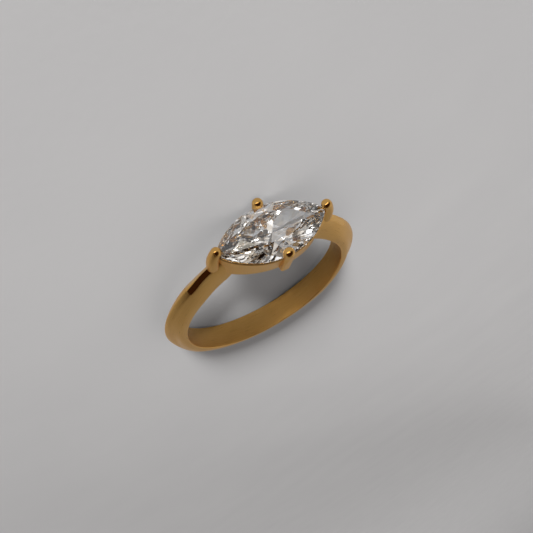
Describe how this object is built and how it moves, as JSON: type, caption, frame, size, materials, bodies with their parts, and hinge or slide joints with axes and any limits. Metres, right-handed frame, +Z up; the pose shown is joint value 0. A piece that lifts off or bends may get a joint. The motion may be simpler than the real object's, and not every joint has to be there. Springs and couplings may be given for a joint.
{
  "type": "marquise ring",
  "caption": "Finger ring lying on its side: a half-round gold band carrying a pointed oval faceted stone set lengthwise across the finger, held by round-topped prongs over a low gallery wall.",
  "frame": {"origin": "middle of the resting ring's box, on the surface that it lies on", "axes": "+Z up from the surface, roughly along the finger; +Y from the band's back towards the stone; +X along the stone's length"},
  "size_m": [0.02, 0.0213, 0.0059],
  "materials": {
    "yellow_gold": "polished yellow gold, finely brushed on the gallery wall",
    "clear_stone": "clear, with flat polished facets"
  },
  "bodies": {
    "root": {"ring_mount": "yellow_gold", "marquise_stone": "clear_stone"}
  },
  "joints": []
}
